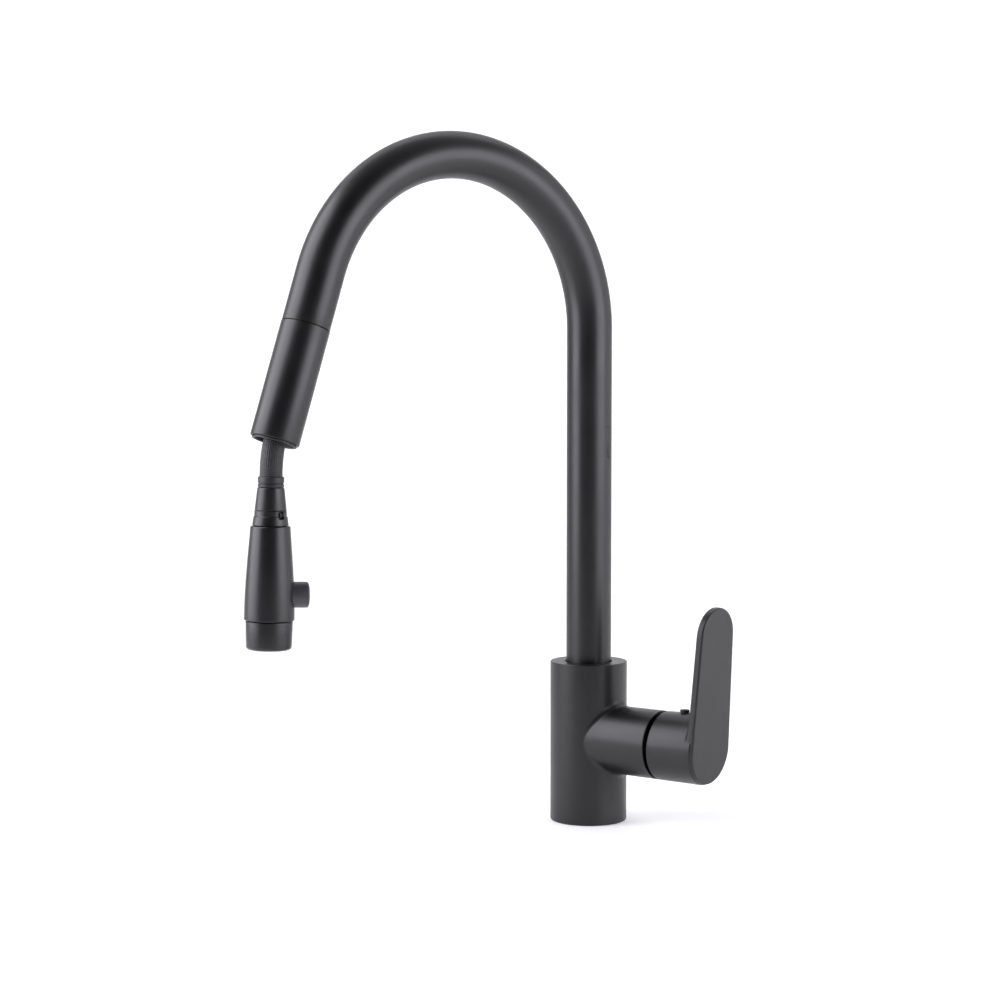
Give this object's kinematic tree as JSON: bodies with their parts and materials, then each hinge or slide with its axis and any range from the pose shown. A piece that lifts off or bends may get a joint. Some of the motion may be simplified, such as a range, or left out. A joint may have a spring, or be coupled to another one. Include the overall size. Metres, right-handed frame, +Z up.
{
  "type": "pull down kitchen faucet",
  "caption": "Single-lever kitchen faucet in satin black with a high swivelling arched spout, a side lever on a round valve branch and a pull-down spray head on a braided hose.",
  "frame": {"origin": "centre of the base's round underside, on the riser's axis, in the plane of the deck", "axes": "+Z up along the riser, +X along the valve branch towards the lever; at rest the spout points 14.5 degrees past -Y, towards -X"},
  "size_m": [0.1702, 0.2668, 0.4246],
  "materials": {
    "coated_brass": "satin black coating",
    "coated_zinc": "satin black coating",
    "coated_steel": "satin black coating",
    "coated_plastic": "satin black",
    "black_nylon": "matte",
    "acetal": "matte",
    "brass": "machined",
    "steel": "bright",
    "ceramic": "lapped",
    "rubber": "matte",
    "braided_hose": "fine black braid"
  },
  "bodies": {
    "base": {"body_casting": "coated_brass", "base_gasket": "rubber", "upper_bush": "acetal", "lower_bush": "acetal", "dust_seal": "rubber", "hose_connector": "brass", "cartridge_seal": "rubber", "cartridge_body": "black_nylon", "fixed_disc": "ceramic", "cartridge_nut": "brass", "dome_cap": "black_nylon"},
    "valve_rotor": {"stem_carrier": "black_nylon", "stem_pin": "steel"},
    "ceramic_disc": {"moving_disc": "ceramic"},
    "lever": {"cartridge_stem": "brass", "lever_handle": "coated_zinc", "handle_screw": "steel", "screw_plug": "rubber"},
    "spout": {"spout_tube": "coated_steel", "spout_foot": "brass", "retaining_ring": "steel", "end_sleeve": "coated_steel", "sleeve_coupling": "brass", "docking_liner": "black_nylon", "hose_in_spout": "braided_hose"},
    "hose_run": {"hose_in_sleeve": "braided_hose"},
    "hose_end": {"hose_bend": "braided_hose"},
    "neck": {"hose_collar": "black_nylon", "hose_ferrule": "steel", "neck_cone": "coated_plastic", "connector_ring": "coated_plastic", "connector_latch": "steel", "swivel_spigot": "brass", "spigot_oring_1": "rubber", "spigot_oring_2": "rubber"},
    "spray_head": {"head_shell": "coated_plastic", "head_core": "acetal", "filter_screen": "steel", "check_valve": "acetal", "nozzle_cap": "coated_plastic", "cap_oring": "rubber", "spray_plate": "rubber", "aerator": "acetal", "flow_divider": "acetal", "button_spring": "steel"},
    "button": {"spray_button": "black_nylon", "diverter_spool": "brass"}
  },
  "joints": [
    {"name": "handle_turn", "type": "hinge", "parent": "base", "child": "valve_rotor", "pos_m": [0, 0, 0.0528], "axis": [1, 0, 0], "range_deg": [-45, 45]},
    {"name": "handle_lift", "type": "hinge", "parent": "valve_rotor", "child": "lever", "pos_m": [0.042, 0, 0.0528], "axis": [0, 1, 0], "range_deg": [0, 20]},
    {"name": "disc_slide", "type": "slide", "parent": "valve_rotor", "child": "ceramic_disc", "axis": [0, 0, 1], "range_m": [0, 0.00435]},
    {"name": "spout_swivel", "type": "hinge", "parent": "base", "child": "spout", "pos_m": [0, 0, 0], "axis": [0, 0, 1], "range_deg": [-135.5, 164.5]},
    {"name": "head_dock", "type": "slide", "parent": "spout", "child": "hose_run", "axis": [0.0786, 0.304, 0.9494], "range_m": [0, 0.0466], "deforming": ["hose_in_spout", "hose_in_sleeve"]},
    {"name": "head_align", "type": "hinge", "parent": "hose_run", "child": "hose_end", "pos_m": [-0.05859, -0.22654, 0.23809], "axis": [-0.9681, 0.2504, 0], "range_deg": [0, 17.1], "deforming": ["hose_bend"]},
    {"name": "head_pull", "type": "slide", "parent": "hose_end", "child": "neck", "axis": [-0.0057, -0.022, -0.9997], "range_m": [0, 0.45]},
    {"name": "head_swivel", "type": "hinge", "parent": "neck", "child": "spray_head", "pos_m": [-0.05859, -0.22654, 0.23809], "axis": [0.0057, 0.022, 0.9997], "continuous": true},
    {"name": "button_press", "type": "slide", "parent": "spray_head", "child": "button", "axis": [-0.636, -0.7714, 0.0206], "range_m": [0, 0.003], "stiffness_N_per_m": 600, "springref_m": -0.004, "deforming": ["button_spring"]}
  ],
  "couplings": [
    {"joint": "disc_slide", "follows": "handle_lift", "m_per_rad": 0.0124},
    {"joint": "head_align", "follows": "head_dock", "rad_per_m": 6.3671}
  ]
}
